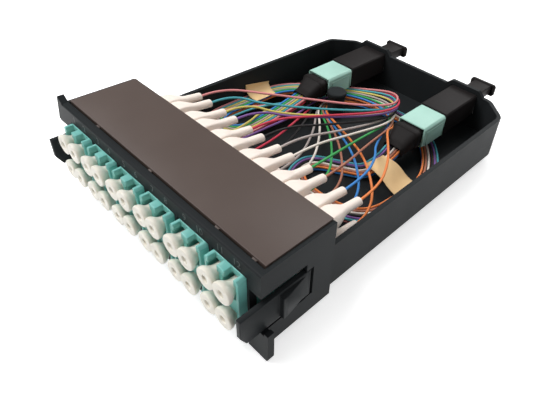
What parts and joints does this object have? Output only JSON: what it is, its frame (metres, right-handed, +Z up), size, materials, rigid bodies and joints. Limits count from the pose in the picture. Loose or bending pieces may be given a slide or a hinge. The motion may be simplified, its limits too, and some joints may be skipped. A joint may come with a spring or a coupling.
{
  "type": "fibre cassette",
  "caption": "Black open-topped fibre cassette with aqua LC duplex adapters, white dust caps and boots, coloured fibres and two rear MPO adapters.",
  "frame": {"origin": "centre of the tray's flat underside", "axes": "+X to the right seen from the front, +Y to the rear wall with the MPO adapters, +Z up"},
  "size_m": [0.1027, 0.1583, 0.0335],
  "materials": {
    "tray_black": "satin",
    "cover_black": "satin",
    "adapter_aqua": "satin",
    "sleeve_aqua": "satin",
    "cap_white": "satin",
    "boot_white": "satin",
    "plug_beige": "satin",
    "mpo_black": "satin",
    "boot_black": "matte",
    "ceramic": "polished",
    "sleeve_ceramic": "polished",
    "tape_tan": "matte",
    "fibre_rose": "satin",
    "fibre_aqua": "satin",
    "fibre_yellow": "satin",
    "fibre_violet": "satin",
    "fibre_red": "satin",
    "fibre_black": "satin",
    "fibre_slate": "satin",
    "fibre_white": "satin",
    "fibre_green": "satin",
    "fibre_brown": "satin",
    "fibre_blue": "satin",
    "fibre_orange": "satin"
  },
  "bodies": {
    "root": {"tray": "tray_black", "adapter_cover": "cover_black", "lc_adapter_1": "adapter_aqua", "lc_adapter_2": "adapter_aqua", "lc_adapter_3": "adapter_aqua", "lc_adapter_4": "adapter_aqua", "lc_adapter_5": "adapter_aqua", "lc_adapter_6": "adapter_aqua", "dust_caps_upper": "cap_white", "lc_plugs_upper": "plug_beige", "lc_boots_upper": "boot_white", "dust_caps_lower": "cap_white", "lc_plugs_lower": "plug_beige", "lc_boots_lower": "boot_white", "ferrules": "ceramic", "split_sleeves": "sleeve_ceramic", "mpo_adapter_left": "mpo_black", "mpo_plug_left": "plug_beige", "mpo_boot_left": "boot_black", "mpo_dust_cap_left": "mpo_black", "mpo_adapter_right": "mpo_black", "mpo_plug_right": "plug_beige", "mpo_boot_right": "boot_black", "mpo_dust_cap_right": "mpo_black", "fibre_post": "tray_black", "tape_left": "tape_tan", "tape_right": "tape_tan", "fibre_upper_01": "fibre_rose", "fibre_lower_01": "fibre_rose", "fibre_upper_02": "fibre_aqua", "fibre_lower_02": "fibre_aqua", "fibre_upper_03": "fibre_yellow", "fibre_lower_03": "fibre_yellow", "fibre_upper_04": "fibre_violet", "fibre_lower_04": "fibre_violet", "fibre_upper_05": "fibre_red", "fibre_lower_05": "fibre_red", "fibre_upper_06": "fibre_black", "fibre_lower_06": "fibre_black", "fibre_upper_07": "fibre_slate", "fibre_lower_07": "fibre_slate", "fibre_upper_08": "fibre_white", "fibre_lower_08": "fibre_white", "fibre_upper_09": "fibre_green", "fibre_lower_09": "fibre_green", "fibre_upper_10": "fibre_brown", "fibre_lower_10": "fibre_brown", "fibre_upper_11": "fibre_blue", "fibre_lower_11": "fibre_blue", "fibre_upper_12": "fibre_orange", "fibre_lower_12": "fibre_orange"},
    "latch_left_lever": {"latch_left": "tray_black"},
    "latch_right_lever": {"latch_right": "tray_black"},
    "left_sleeve": {"mpo_sleeve_left": "sleeve_aqua"},
    "right_sleeve": {"mpo_sleeve_right": "sleeve_aqua"}
  },
  "joints": [
    {"name": "latch_right_hinge", "type": "hinge", "parent": "root", "child": "latch_right_lever", "pos_m": [0.0472, -0.05075, 0.0125], "axis": [0, 0, -1], "range_deg": [0, 8], "stiffness_Nm_per_rad": 0.3},
    {"name": "latch_left_hinge", "type": "hinge", "parent": "root", "child": "latch_left_lever", "pos_m": [-0.0472, -0.05075, 0.0125], "axis": [0, 0, 1], "range_deg": [0, 8], "stiffness_Nm_per_rad": 0.3},
    {"name": "left_sleeve_slide", "type": "slide", "parent": "root", "child": "left_sleeve", "axis": [0, -1, 0], "range_m": [0, 0.0012], "stiffness_N_per_m": 800},
    {"name": "right_sleeve_slide", "type": "slide", "parent": "root", "child": "right_sleeve", "axis": [0, -1, 0], "range_m": [0, 0.0012], "stiffness_N_per_m": 800}
  ]
}
